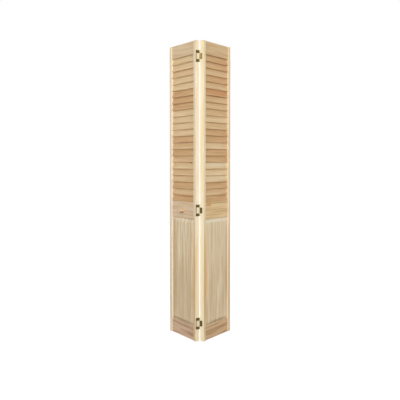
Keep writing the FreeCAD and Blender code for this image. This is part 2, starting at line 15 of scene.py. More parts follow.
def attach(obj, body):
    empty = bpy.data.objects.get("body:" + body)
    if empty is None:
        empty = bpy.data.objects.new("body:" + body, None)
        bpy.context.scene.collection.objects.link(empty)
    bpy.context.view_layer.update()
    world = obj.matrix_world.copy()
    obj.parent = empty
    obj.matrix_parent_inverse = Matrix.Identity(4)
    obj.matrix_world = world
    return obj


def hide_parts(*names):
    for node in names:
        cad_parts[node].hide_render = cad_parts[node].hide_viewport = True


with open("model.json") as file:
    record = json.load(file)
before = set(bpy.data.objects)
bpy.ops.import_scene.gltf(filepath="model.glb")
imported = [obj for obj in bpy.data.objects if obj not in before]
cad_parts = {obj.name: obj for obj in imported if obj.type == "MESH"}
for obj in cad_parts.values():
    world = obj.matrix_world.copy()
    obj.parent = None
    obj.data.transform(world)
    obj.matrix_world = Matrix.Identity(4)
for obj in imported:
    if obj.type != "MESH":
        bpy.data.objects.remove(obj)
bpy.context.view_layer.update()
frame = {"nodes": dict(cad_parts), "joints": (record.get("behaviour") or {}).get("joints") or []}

# The fold and the pins' axis, from the door's one joint: its lower limit closes the door flat.
FOLD_JOINT = frame["joints"][0]
PINS = Vector(FOLD_JOINT["pos_m"])
FOLD = math.radians(-FOLD_JOINT["range_deg"][0] / 2)
HANDS = {"pivot": 1, "lead": -1}

MM = 0.001

# Louver slats.
SLAT_WIDTH = 0.055
SLAT_THICKNESS = 0.0056
SLAT_TILT = math.radians(12.5)
SLAT_EDGE_RADIUS = 0.0016
SLAT_EDGE_STEPS = 5
SLAT_SEEDS = {"lead": 4, "pivot": 9}

# Slats that were cut from redder heartwood boards, and paler sapwood ones, counted from the sill.
HEARTWOOD_SLATS = {"lead": (0, 2, 7, 9, 14, 15, 16), "pivot": (0, 2, 6, 7, 9, 10, 16, 18, 20, 21)}
SAPWOOD_SLATS = {"lead": (5, 10, 11, 12, 13, 17, 18, 20, 21), "pivot": (3, 4, 5, 8, 12)}
HEARTWOOD_SHARE = 0.75
MIXED_SHARE = 0.40
SAPWOOD_SHARE = 0.10

# Screws, as shares of the modelled head's diameter: head, shank and how deep the head flares.
PLATE_SCREW = (0.97, 0.485, 0.25)
KNOB_SCREW = (0.97, 0.50, 0.28)
SCREW_SEEDS = {"lead": 2, "pivot": 6}

# A screw's point, in shank diameters: how long it is and the radius it ends with.
POINT_LENGTH = 1.2
POINT_END = 0.06

# A head's rim, and the dome on it: its height, and its rings as shares of the head's diameter and
# of that height.
HEAD_RIM = 0.00025
SCREW_DOME = 0.00022
DOME_RINGS = ((0.46, 0.6), (0.38, 1.0))

# The recess is a cross that narrows towards its foot. Its reach and its half arm are shares of the
# head's radius.
RECESS_REACH = 0.56
RECESS_ARM = 0.17
RECESS_DEPTH = 0.0011
RECESS_FOOT = 0.45

# The knob's turned profile: distance from its axis and from the rail, as shares of its radius and
# of its projection.
KNOB_PROFILE = (
    (0.600, 0.000), (0.605, 0.030), (0.560, 0.075), (0.475, 0.150), (0.435, 0.235), (0.450, 0.320),
    (0.545, 0.400), (0.735, 0.475), (0.905, 0.560), (0.995, 0.660), (1.000, 0.745), (0.935, 0.840),
    (0.780, 0.920), (0.540, 0.970), (0.270, 0.993),
)

# Painted shade: below this height the knob is coloured brown, as its underside is in shade, and the tone
# turns within the fade.
KNOB_SHADE_LINE = 0.862
SHADE_FADE = 0.004

TURNED_SEGMENTS = 32

# The raised panel's section, from the edge of its tongue inwards and from its middle plane out.
PANEL_SECTION = ((0.0, 0.0028), (0.0089, 0.0028), (0.0360, 0.0092), (0.0366, 0.0098))

# How far from the pins' axis the hinges' knuckles are painted paler, as a painted reflection of the white
# surroundings.
REFLECTION_REACH = 0.0038

# Worn edges of stamped and turned metal: their width, and from what angle an edge is worn.
METAL_EDGE = 0.00022
WORN_FROM = math.radians(40)

# Triangles this near to one plane are one face.
FLAT_WITHIN = math.radians(0.5)

# Smooth shading stops at edges sharper than these.
KNOB_SHARP = math.radians(50)
SCREW_SHARP = math.radians(40)
PLATE_SHARP = math.radians(30)

# Corners this near to each other are one.
SAME_SPOT = 1e-6


def srgb(code):
    """An sRGB hex colour as a linear RGBA tuple."""
    channels = [int(code[i:i + 2], 16) / 255 for i in (1, 3, 5)]
    return tuple(c / 12.92 if c <= 0.04045 else ((c + 0.055) / 1.055) ** 2.4 for c in channels) + (1.0,)


def grey(level):
    return (level, level, level, 1.0)


def add(tree, kind, sockets=None, **settings):
    """Add a node to a tree. A socket gets a plain value, or a link from another node's output."""
    node = tree.nodes.new(kind)
    for name, setting in settings.items():
        if name == "stops":
            elements = node.color_ramp.elements
            elements[0].position, elements[0].color = setting[0]
            elements[1].position, elements[1].color = setting[-1]
            for position, colour in setting[1:-1]:
                elements.new(position).color = colour
        else:
            setattr(node, name, setting)
    for key, value in (sockets or {}).items():
        if isinstance(value, bpy.types.NodeSocket):
            tree.links.new(value, node.inputs[key])
        else:
            node.inputs[key].default_value = value
    return node


# Places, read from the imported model

def leaf_matrix(hand):
    """From a leaf's own coordinates to the frame."""
    return Matrix.Translation((0, PINS.y, 0)) @ Matrix.Rotation(hand * FOLD, 4, "Z")


def box_of(points):
    points = list(points)
    low = Vector([min(p[i] for p in points) for i in range(3)])
    high = Vector([max(p[i] for p in points) for i in range(3)])
    return low, high


def merged_copy(node):
    """A copy of a node's mesh in which the triangles share their corners."""
    bm = bmesh.new()
    bm.from_mesh(frame["nodes"][node].data)
    bmesh.ops.remove_doubles(bm, verts=bm.verts, dist=SAME_SPOT)
    return bm


def solid_boxes(node, hand):
    """The box of each separate solid of a node in its leaf's own coordinates, from the lowest up."""
    bm = merged_copy(node)
    back = leaf_matrix(hand).inverted()
    waiting = set(bm.verts)
    boxes = []
    while waiting:
        found = {waiting.pop()}
        latest = set(found)
        while latest:
            latest = {e.other_vert(v) for v in latest for e in v.link_edges} - found
            found |= latest
        waiting -= found
        boxes.append(box_of(back @ v.co for v in found))
    bm.free()
    return sorted(boxes, key=lambda box: box[0].z)


# Pieces

def place(name, mesh):
    """A new object for a finished mesh, at the origin."""
    mesh.name = name
    piece = bpy.data.objects.new(name, mesh)
    bpy.context.scene.collection.objects.link(piece)
    return piece


def declare(piece, body, node):
    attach(piece, body)
    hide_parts(node)


def shade(mesh, angle):
    """Smooth shading, except over edges sharper than the angle."""
    mesh.polygons.foreach_set("use_smooth", [True] * len(mesh.polygons))
    mesh.set_sharp_from_angle(angle=angle)


def lathe(bm, profile):
    """Turn a profile of (radius, height) points about the z axis. Its foot is closed with a disc."""
    rings = []
    for radius, height in profile:
        rings.append([bm.verts.new((radius * math.cos(math.tau * i / TURNED_SEGMENTS),
                                    radius * math.sin(math.tau * i / TURNED_SEGMENTS), height))
                      for i in range(TURNED_SEGMENTS)])
    for lower, upper in zip(rings, rings[1:]):
        for i in range(TURNED_SEGMENTS):
            j = (i + 1) % TURNED_SEGMENTS
            bm.faces.new((lower[i], lower[j], upper[j], upper[i]))
    bm.faces.new(reversed(rings[0]))
    return rings


def screw_mesh(name, across, shares, length):
    """A countersunk or pan head screw about the z axis, its face at z = 0 and its tip down. The cross
    recess is sunk in a face that is domed by a hair."""
    bm = bmesh.new()
    head, shank, flare = (across * share for share in shares)
    profile = [(shank * POINT_END, -length), (shank * 0.5, -length + shank * POINT_LENGTH),
               (shank * 0.5, -flare), (head * 0.5, -HEAD_RIM), (head * 0.5, 0.0)]
    rings = lathe(bm, profile + [(head * share, SCREW_DOME * rise) for share, rise in DOME_RINGS])
    reach, arm = head * 0.5 * RECESS_REACH, head * 0.5 * RECESS_ARM
    cross = [(reach, -arm), (reach, arm), (arm, arm), (arm, reach), (-arm, reach), (-arm, arm),
             (-reach, arm), (-reach, -arm), (-arm, -arm), (-arm, -reach), (arm, -reach), (arm, -arm)]
    mouth = [bm.verts.new((x, y, SCREW_DOME)) for x, y in cross]
    foot = [bm.verts.new((x * RECESS_FOOT, y * RECESS_FOOT, SCREW_DOME - RECESS_DEPTH))
            for x, y in cross]
    rims = []
    for loop in (rings[-1], mouth):
        for a, b in zip(loop, loop[1:] + loop[:1]):
            rims.append(bm.edges.get((a, b)) or bm.edges.new((a, b)))
    bmesh.ops.triangle_fill(bm, edges=rims, use_beauty=True, normal=(0, 0, 1))
    for i in range(len(cross)):
        j = (i + 1) % len(cross)
        bm.faces.new((mouth[i], mouth[j], foot[j], foot[i]))
    bm.faces.new(foot)
    bmesh.ops.recalc_face_normals(bm, faces=bm.faces)
    mesh = bpy.data.meshes.new(name)
    bm.to_mesh(mesh)
    bm.free()
    return mesh


def run_tree(name, points, attributes, tree, inputs):
    """The plain mesh that a tree makes of a row of points, as a new object at the origin."""
    mesh = bpy.data.meshes.new(name)
    mesh.from_pydata(points, [], [])
    for key, values in attributes.items():
        mesh.attributes.new(key, "FLOAT", "POINT").data.foreach_set("value", values)
    source = place(name, mesh)
    modifier = source.modifiers.new("tree", "NODES")
    modifier.node_group = tree
    for item in tree.interface.items_tree:
        if item.in_out == "INPUT" and item.name in inputs:
            modifier[item.identifier] = inputs[item.name]
    graph = bpy.context.evaluated_depsgraph_get()
    made = bpy.data.meshes.new_from_object(source.evaluated_get(graph))
    bpy.data.objects.remove(source)
    return place(name, made)


def new_tree(name, inputs):
    tree = bpy.data.node_groups.new(name, "GeometryNodeTree")
    tree.interface.new_socket("Geometry", in_out="INPUT", socket_type="NodeSocketGeometry")
    for label, kind in inputs:
        tree.interface.new_socket(label, in_out="INPUT", socket_type=f"NodeSocket{kind}")
    tree.interface.new_socket("Geometry", in_out="OUTPUT", socket_type="NodeSocketGeometry")
    return tree, add(tree, "NodeGroupInput").outputs


def hang(tree, geometry, given, material):
    """End a tree: hang its instances in the folded leaf, make them real and give them a material."""
    swing = add(tree, "ShaderNodeCombineXYZ", {"Z": given["Fold"]})
    shift = add(tree, "ShaderNodeCombineXYZ", {"Y": given["Pins Y"]})
    hung = add(tree, "GeometryNodeTransform", {
        "Geometry": geometry, "Rotation": swing.outputs[0], "Translation": shift.outputs[0]})
    real = add(tree, "GeometryNodeRealizeInstances", {"Geometry": hung.outputs[0]})
    finished = add(tree, "GeometryNodeSetMaterial", {"Geometry": real.outputs[0], "Material": material})
    add(tree, "NodeGroupOutput", {"Geometry": finished.outputs[0]})


def slat_tree(material):
    """Sticks one slat with rounded edges on each point of a leaf's row of slat places."""
    tree, given = new_tree("louver_slats", [
        ("Length", "Float"), ("Width", "Float"), ("Thickness", "Float"), ("Edge Radius", "Float"),
        ("Lean", "Float"), ("Fold", "Float"), ("Pins Y", "Float"), ("Seed", "Int")])
    section = add(tree, "GeometryNodeCurvePrimitiveQuadrilateral", {
        "Width": given["Width"], "Height": given["Thickness"]})
    rounded = add(tree, "GeometryNodeFilletCurve", {
        "Curve": section.outputs[0], "Radius": given["Edge Radius"], "Count": SLAT_EDGE_STEPS,
    }, mode="POLY")
    half = add(tree, "ShaderNodeMath", {0: given["Length"], 1: 0.5}, operation="MULTIPLY")
    less = add(tree, "ShaderNodeMath", {0: given["Length"], 1: -0.5}, operation="MULTIPLY")
    start = add(tree, "ShaderNodeCombineXYZ", {"X": less.outputs[0]})
    end = add(tree, "ShaderNodeCombineXYZ", {"X": half.outputs[0]})
    line = add(tree, "GeometryNodeCurvePrimitiveLine", {
        "Start": start.outputs[0], "End": end.outputs[0]})
    slat = add(tree, "GeometryNodeCurveToMesh", {
        "Curve": line.outputs[0], "Profile Curve": rounded.outputs[0], "Fill Caps": True})
    lean = add(tree, "ShaderNodeCombineXYZ", {"X": given["Lean"]})
    row = add(tree, "GeometryNodeInstanceOnPoints", {
        "Points": given["Geometry"], "Instance": slat.outputs[0], "Rotation": lean.outputs[0]})
    chance = add(tree, "FunctionNodeRandomValue", {"Seed": given["Seed"]}, data_type="FLOAT_VECTOR")
    marked = add(tree, "GeometryNodeStoreNamedAttribute", {
        "Geometry": row.outputs[0], "Name": "board", "Value": chance.outputs[0],
    }, data_type="FLOAT_VECTOR", domain="INSTANCE")
    hang(tree, marked.outputs[0], given, material)
    return tree


def screw_tree(material):
    """Drives a screw at each point, its recess turned to any angle. The template faces along -x."""
    tree, given = new_tree("hinge_screws", [
        ("Screw", "Object"), ("Turn", "Float"), ("Fold", "Float"), ("Pins Y", "Float"), ("Seed", "Int")])
    screw = add(tree, "GeometryNodeObjectInfo", {"Object": given["Screw"]})
    spin = add(tree, "FunctionNodeRandomValue", {
        2: 0.0, 3: math.tau, "Seed": given["Seed"]}, data_type="FLOAT")
    turn = add(tree, "ShaderNodeCombineXYZ", {"X": spin.outputs[1], "Z": given["Turn"]})
    row = add(tree, "GeometryNodeInstanceOnPoints", {
        "Points": given["Geometry"], "Instance": screw.outputs["Geometry"], "Rotation": turn.outputs[0]})
    hang(tree, row.outputs[0], given, material)
    return tree


def make_slats(leaf, material):
    hand = HANDS[leaf]
    boxes = solid_boxes(f"{leaf}_slats", hand)
    points = [(low + high) / 2 for low, high in boxes]
    length = boxes[0][1].x - boxes[0][0].x
    shares = []
    for number in range(len(boxes)):
        heart, sap = number in HEARTWOOD_SLATS[leaf], number in SAPWOOD_SLATS[leaf]
        shares.append(HEARTWOOD_SHARE if heart else SAPWOOD_SHARE if sap else MIXED_SHARE)
    piece = run_tree(f"{leaf}_louver_slats", points, {"heartwood": shares}, slat_tree(material), {
        "Length": length, "Width": SLAT_WIDTH, "Thickness": SLAT_THICKNESS,
        "Edge Radius": SLAT_EDGE_RADIUS, "Lean": math.radians(90) - SLAT_TILT,
        "Fold": hand * FOLD, "Pins Y": PINS.y, "Seed": SLAT_SEEDS[leaf]})
    broad = SLAT_THICKNESS * length
    piece.data.polygons.foreach_set("use_smooth", [face.area < broad for face in piece.data.polygons])
    declare(piece, f"{leaf}_leaf", f"{leaf}_slats")


def make_hinge_screws(leaf, material):
    hand = HANDS[leaf]
    boxes = solid_boxes(f"{leaf}_hinge_screws", hand)
    low, high = boxes[0]
    face = low.x if hand > 0 else high.x
    mesh = screw_mesh("screw", high.z - low.z, PLATE_SCREW, high.x - low.x)
    mesh.transform(Matrix.Rotation(math.radians(-90), 4, "Y"))
    shade(mesh, SCREW_SHARP)
    template = place("screw", mesh)
    points = [(face, (low.y + high.y) / 2, (low.z + high.z) / 2) for low, high in boxes]
    piece = run_tree(f"{leaf}_plate_screws", points, {}, screw_tree(material), {
        "Screw": template, "Turn": 0.0 if hand > 0 else math.pi,
        "Fold": hand * FOLD, "Pins Y": PINS.y, "Seed": SCREW_SEEDS[leaf]})
    bpy.data.objects.remove(template)
    declare(piece, f"{leaf}_leaf", f"{leaf}_hinge_screws")


def make_panel(leaf, material):
    """Raised on both faces: a tongue, a bevel that ends in a crisp quirk, and a flat field."""
    hand = HANDS[leaf]
    low, high = solid_boxes(f"{leaf}_panel", hand)[0]
    middle = (low.y + high.y) / 2
    bm = bmesh.new()
    rims = []
    for face in (-1, 1):
        rings = []
        for inset, rise in PANEL_SECTION:
            corners = [(low.x + inset, low.z + inset), (high.x - inset, low.z + inset),
                       (high.x - inset, high.z - inset), (low.x + inset, high.z - inset)]
            rings.append([bm.verts.new((x, middle + face * rise, z)) for x, z in corners])
        for outer, inner in zip(rings, rings[1:]):
            for i in range(4):
                bm.faces.new((outer[i - 1], outer[i], inner[i], inner[i - 1]))
        bm.faces.new(rings[-1])
        rims.append(rings[0])
    for i in range(4):
        bm.faces.new((rims[0][i - 1], rims[0][i], rims[1][i], rims[1][i - 1]))
    bmesh.ops.recalc_face_normals(bm, faces=bm.faces)
    mesh = bpy.data.meshes.new(f"{leaf}_raised_panel")
    bm.to_mesh(mesh)
    bm.free()
    mesh.transform(leaf_matrix(hand))
    mesh.materials.append(material)
    declare(place(f"{leaf}_raised_panel", mesh), f"{leaf}_leaf", f"{leaf}_panel")


def make_knob(material):
    """Turned on a lathe: a waisted foot, a full rim and a gently domed face."""
    hand = HANDS["lead"]
    low, high = solid_boxes("knob", hand)[0]
    radius, reach = (high.z - low.z) / 2, high.y - low.y
    bm = bmesh.new()
    rings = lathe(bm, [(r * radius, h * reach) for r, h in KNOB_PROFILE])
    tip = bm.verts.new((0, 0, reach))
    for a, b in zip(rings[-1], rings[-1][1:] + rings[-1][:1]):
        bm.faces.new((a, b, tip))
    mesh = bpy.data.meshes.new("turned_knob")
    bm.to_mesh(mesh)
    bm.free()
    stand = Matrix.Translation(((low.x + high.x) / 2, high.y, (low.z + high.z) / 2))
    mesh.transform(leaf_matrix(hand) @ stand @ Matrix.Rotation(math.radians(90), 4, "X"))
    shade(mesh, KNOB_SHARP)
    piece = place("turned_knob", mesh)
    piece.data.materials.append(material)
    piece.modifiers.new("turned", "SUBSURF").levels = 1
    piece.modifiers["turned"].render_levels = 1
    declare(piece, "lead_leaf", "knob")


def make_knob_screw(material):
    hand = HANDS["lead"]
    low, high = solid_boxes("knob_screw", hand)[0]
    mesh = screw_mesh("knob_machine_screw", high.z - low.z, KNOB_SCREW, high.y - low.y - SCREW_DOME)
    stand = Matrix.Translation(((low.x + high.x) / 2, high.y - SCREW_DOME, (low.z + high.z) / 2))
    mesh.transform(leaf_matrix(hand) @ stand @ Matrix.Rotation(math.radians(-90), 4, "X"))
    shade(mesh, SCREW_SHARP)
    mesh.materials.append(material)
    declare(place("knob_machine_screw", mesh), "lead_leaf", "knob_screw")


def soften(node, name, body, material):
    """The node's own form with its stamped or turned edges broken."""
    bm = merged_copy(node)
    bmesh.ops.dissolve_limit(bm, angle_limit=FLAT_WITHIN, verts=bm.verts, edges=bm.edges)
    mesh = bpy.data.meshes.new(name)
    bm.to_mesh(mesh)
    bm.free()
    mesh.materials.clear()
    mesh.materials.append(material)
    shade(mesh, PLATE_SHARP)
    piece = place(name, mesh)
    bevel = piece.modifiers.new("edges", "BEVEL")
    bevel.width = METAL_EDGE
    bevel.segments = 2
    bevel.limit_method = "ANGLE"
    bevel.angle_limit = WORN_FROM
    declare(piece, body, node)


# Materials

def new_material(name):
    material = bpy.data.materials.new(name)
    material.use_nodes = True
    material.node_tree.nodes.clear()
    return material, material.node_tree


# Pine's figure: rings 4 to 6 mm apart in fast-grown wood, slow bands of tone about a finger wide,
# and how far the rings wander, over what length. Fibres are a few hundredths of a millimetre wide,
# so they are drawn as coarse as they need to show.
RING_SPACING = 5.4165 * MM
BAND_WIDTH = 13.333 * MM
WANDER_LENGTH = 142.86 * MM
WANDER_REACH = 30 * MM
FIBRE_WIDTH = 1.1111 * MM

# Each of them is drawn out along the board: its scale falls to this share.
BAND_RUN = (1.0, 1.0, 0.05)
WANDER_RUN = (1.0, 1.0, 0.22)
FIBRE_RUN = (1.0, 1.0, 0.012)

# At scale 1 a wave texture has this many radians in a metre.
WAVE_RADIANS = 20

# The share of latewood tone that each gives a board. A stronger figure leaves the middle as it is.
RING_SHARE = 0.42
BAND_SHARE = 0.42
FIBRE_SHARE = 0.16
FIGURE_MIDDLE = 0.42

# A panel is glued up from strips of different tone, and a strip or slat comes from anywhere in a log.
STRIP_SHARE = 0.22
STRIP_SPREAD = (0.09, 0.05, 3.0)
SLAT_SPREAD = (0.12, 0.06, 5.0)

# No board is sawn quite along the grain.
GRAIN_LEAN = math.radians(1.2)

# How much a mark's outline follows the wander of the rings.
RAGGED = (0.9, 0.0, 0.9)


def leaf_place(tree, hand):
    """Object coordinates turned to the leaf's own."""
    where = add(tree, "ShaderNodeTexCoord")
    return add(tree, "ShaderNodeMapping", {
        "Vector": where.outputs["Object"], "Location": (0, PINS.y, 0), "Rotation": (0, 0, hand * FOLD),
    }, vector_type="TEXTURE").outputs["Vector"]


def spread_out(tree, point, chance, spread):
    """Move each strip's or slat's point to a place of its own in the log."""
    far = add(tree, "ShaderNodeVectorMath", {0: chance, 1: spread}, operation="MULTIPLY")
    return add(tree, "ShaderNodeVectorMath", {0: point, 1: far.outputs[0]}).outputs[0]


def glued_strips(tree, leaf, width):
    """A random colour and value for each strip of a glued panel."""
    split = add(tree, "ShaderNodeSeparateXYZ", {"Vector": leaf})
    number = add(tree, "ShaderNodeMath", {0: split.outputs["X"], 1: width}, operation="DIVIDE")
    number = add(tree, "ShaderNodeMath", {0: number.outputs[0]}, operation="FLOOR")
    return add(tree, "ShaderNodeTexWhiteNoise", {"W": number.outputs[0]}, noise_dimensions="1D").outputs


def lay_stains_and_painted_light(tree, colour, leaf, hand, wander, marks):
    """Lay marks over a colour: each is full in its middle and fades out within its ragged outline."""
    for (across, depth, height), half_size, tint, strength in marks:
        spot = add(tree, "ShaderNodeMapping", {
            "Vector": leaf, "Location": (hand * across * MM, depth * MM, height * MM),
            "Scale": [size * MM for size in half_size]}, vector_type="TEXTURE")
        ragged = add(tree, "ShaderNodeVectorMath", {
            0: wander, 1: RAGGED, 2: spot.outputs[0]}, operation="MULTIPLY_ADD")
        near = add(tree, "ShaderNodeTexGradient", {
            "Vector": ragged.outputs[0]}, gradient_type="SPHERICAL")
        mark_share = add(tree, "ShaderNodeMath", {
            0: near.outputs["Fac"], 1: strength * 2}, operation="MULTIPLY")
        held = add(tree, "ShaderNodeMath", {0: mark_share.outputs[0], 1: strength}, operation="MINIMUM")
        colour = add(tree, "ShaderNodeMix", {
            "Factor": held.outputs[0], 6: colour, 7: srgb(tint)}, data_type="RGBA").outputs[2]
    return colour


def pine(name, hand, along, pith, early, late, figure, strips=0.0, heartwood=None, marks=()):
    """Bare sanded pine: pale earlywood with thin darker latewood rings, fine fibres and a slow drift
    of tone along the board; matt, since nothing seals it. The rings are a solid pattern, so they
    show as lines on the faces and as arcs on the ends. A panel is glued up from strips of one width.
    Slats mix with the two tones of a redder heartwood. Marks are resin streaks, knots and darker or paler
    wood, and also painted highlights and painted shade where light and shade fall on the boards."""
    material, tree = new_material(name)
    leaf = leaf_place(tree, hand)
    point = add(tree, "ShaderNodeMapping", {
        "Vector": leaf, "Location": pith,
        "Rotation": (GRAIN_LEAN, math.radians(90), 0) if along == "x" else (GRAIN_LEAN, GRAIN_LEAN, 0),
    }, vector_type="POINT").outputs["Vector"]
    strip = glued_strips(tree, leaf, strips) if strips else None
    if strip:
        point = spread_out(tree, point, strip["Color"], STRIP_SPREAD)
    if heartwood:
        board = add(tree, "ShaderNodeAttribute", attribute_name="board")
        point = spread_out(tree, point, board.outputs["Color"], SLAT_SPREAD)

    # A trunk is never quite straight, so the rings wander by some millimetres along the board.
    slow = add(tree, "ShaderNodeMapping", {"Vector": point, "Scale": WANDER_RUN})
    drawn = add(tree, "ShaderNodeTexNoise", {
        "Vector": slow.outputs[0], "Scale": 1 / WANDER_LENGTH, "Detail": 2.0})
    wander = add(tree, "ShaderNodeVectorMath", {
        0: drawn.outputs["Color"], 1: (0.5, 0.5, 0.5)}, operation="SUBTRACT").outputs[0]
    bent = add(tree, "ShaderNodeVectorMath", {
        0: wander, 1: (WANDER_REACH, WANDER_REACH, 0.0), 2: point}, operation="MULTIPLY_ADD")
    rings = add(tree, "ShaderNodeTexWave", {
        "Vector": bent.outputs[0], "Scale": math.tau / (WAVE_RADIANS * RING_SPACING),
        "Distortion": 0.8, "Detail": 2.0, "Detail Scale": 1.2,
    }, wave_type="RINGS", rings_direction="Z", wave_profile="SAW")
    streaks = add(tree, "ShaderNodeMapping", {"Vector": point, "Scale": FIBRE_RUN})
    fibres = add(tree, "ShaderNodeTexNoise", {
        "Vector": streaks.outputs[0], "Scale": 1 / FIBRE_WIDTH, "Detail": 3.0, "Roughness": 0.6})
    bands = add(tree, "ShaderNodeMapping", {"Vector": point, "Scale": BAND_RUN})
    drift = add(tree, "ShaderNodeTexNoise", {
        "Vector": bands.outputs[0], "Scale": 1 / BAND_WIDTH, "Detail": 3.0})

    # The share of latewood tone at each point.
    ring = add(tree, "ShaderNodeValToRGB", {"Fac": rings.outputs["Fac"]}, stops=(
        (0.0, grey(0.10)), (0.45, grey(0.16)), (0.80, grey(0.55)), (0.93, grey(0.95)), (1.0, grey(0.30))))
    band = add(tree, "ShaderNodeValToRGB", {"Fac": drift.outputs["Fac"]}, stops=(
        (0.36, grey(0.0)), (0.66, grey(1.0))))
    fibre = add(tree, "ShaderNodeValToRGB", {"Fac": fibres.outputs["Fac"]}, stops=(
        (0.30, grey(0.0)), (0.70, grey(1.0))))
    share = add(tree, "ShaderNodeMath", {0: ring.outputs["Color"], 1: RING_SHARE}, operation="MULTIPLY")
    share = add(tree, "ShaderNodeMath", {
        0: band.outputs["Color"], 1: BAND_SHARE, 2: share.outputs[0]}, operation="MULTIPLY_ADD")
    share = add(tree, "ShaderNodeMath", {
        0: fibre.outputs["Color"], 1: FIBRE_SHARE, 2: share.outputs[0]}, operation="MULTIPLY_ADD")
    share = add(tree, "ShaderNodeMath", {
        0: share.outputs[0], 1: FIGURE_MIDDLE}, operation="SUBTRACT")
    share = add(tree, "ShaderNodeMath", {
        0: share.outputs[0], 1: figure, 2: FIGURE_MIDDLE}, operation="MULTIPLY_ADD")
    if strip:
        share = add(tree, "ShaderNodeMath", {
            0: strip["Value"], 1: STRIP_SHARE, 2: share.outputs[0]}, operation="MULTIPLY_ADD")

    colour = add(tree, "ShaderNodeMix", {
        "Factor": share.outputs[0], 6: srgb(early), 7: srgb(late)}, data_type="RGBA").outputs[2]
    if heartwood:
        redness = add(tree, "ShaderNodeAttribute", attribute_name="heartwood").outputs["Fac"]
        red = add(tree, "ShaderNodeMix", {
            "Factor": share.outputs[0], 6: srgb(heartwood[0]), 7: srgb(heartwood[1])}, data_type="RGBA")
        colour = add(tree, "ShaderNodeMix", {
            "Factor": redness, 6: colour, 7: red.outputs[2]}, data_type="RGBA").outputs[2]
    colour = lay_stains_and_painted_light(tree, colour, leaf, hand, wander, marks)

    relief = add(tree, "ShaderNodeMath", {
        0: ring.outputs["Color"], 1: fibres.outputs["Fac"]}, operation="ADD")
    bump = add(tree, "ShaderNodeBump", {
        "Height": relief.outputs[0], "Strength": 0.25, "Distance": 0.2 * MM})
    roughness = add(tree, "ShaderNodeValToRGB", {"Fac": ring.outputs["Color"]}, stops=(
        (0.0, grey(0.68)), (1.0, grey(0.50))))
    shader = add(tree, "ShaderNodeBsdfPrincipled", {
        "Base Color": colour, "Roughness": roughness.outputs["Color"],
        "IOR": 1.45, "Normal": bump.outputs["Normal"]})
    add(tree, "ShaderNodeOutputMaterial", {"Surface": shader.outputs[0]})
    return material


# Birch's pores are about a tenth of a millimetre wide, and are drawn as coarse as they need to show.
PORE_WIDTH = 0.71429 * MM
PORE_RUN = (1.0, 0.08, 1.0)
CLOUD_WIDTH = 7.6923 * MM


def birch(name, painted_shade_below=None):
    """Turned and sanded birch or beech: close, even and pale, with a low sheen from the tool and short
    fine pores along the axis. Below a given height the colour turns brown: painted shade on the knob's
    underside, where the light from above falls short."""
    material, tree = new_material(name)
    leaf = leaf_place(tree, HANDS["lead"])
    drawn = add(tree, "ShaderNodeMapping", {"Vector": leaf, "Scale": PORE_RUN})
    pores = add(tree, "ShaderNodeTexNoise", {
        "Vector": drawn.outputs[0], "Scale": 1 / PORE_WIDTH, "Detail": 3.0})
    cloud = add(tree, "ShaderNodeTexNoise", {
        "Vector": drawn.outputs[0], "Scale": 1 / CLOUD_WIDTH, "Detail": 2.0})
    mixed = add(tree, "ShaderNodeMath", {
        0: pores.outputs["Fac"], 1: 0.4, 2: cloud.outputs["Fac"]}, operation="MULTIPLY_ADD")
    tone = add(tree, "ShaderNodeValToRGB", {"Fac": mixed.outputs[0]}, stops=(
        (0.45, srgb("#f6dcb4")), (0.95, srgb("#e0b47e")))).outputs["Color"]
    # Painted shade: below the given height the colour turns brown, where the knob's underside is in
    # shade.
    if painted_shade_below:
        height = add(tree, "ShaderNodeSeparateXYZ", {"Vector": leaf})
        brown = add(tree, "ShaderNodeMapRange", {
            "Value": height.outputs["Z"], "From Min": painted_shade_below + SHADE_FADE,
            "From Max": painted_shade_below - SHADE_FADE})
        tone = add(tree, "ShaderNodeMix", {
            "Factor": brown.outputs["Result"], 6: tone, 7: srgb("#9a7252")}, data_type="RGBA").outputs[2]
    bump = add(tree, "ShaderNodeBump", {
        "Height": pores.outputs["Fac"], "Strength": 0.15, "Distance": 0.1 * MM})
    shader = add(tree, "ShaderNodeBsdfPrincipled", {
        "Base Color": tone, "Roughness": 0.42, "IOR": 1.45, "Normal": bump.outputs["Normal"]})
    add(tree, "ShaderNodeOutputMaterial", {"Surface": shader.outputs[0]})
    return material


# A plated finish's grain is some hundredths of a millimetre wide, drawn as coarse as it needs to show.
PLATING_GRAIN = 0.38462 * MM


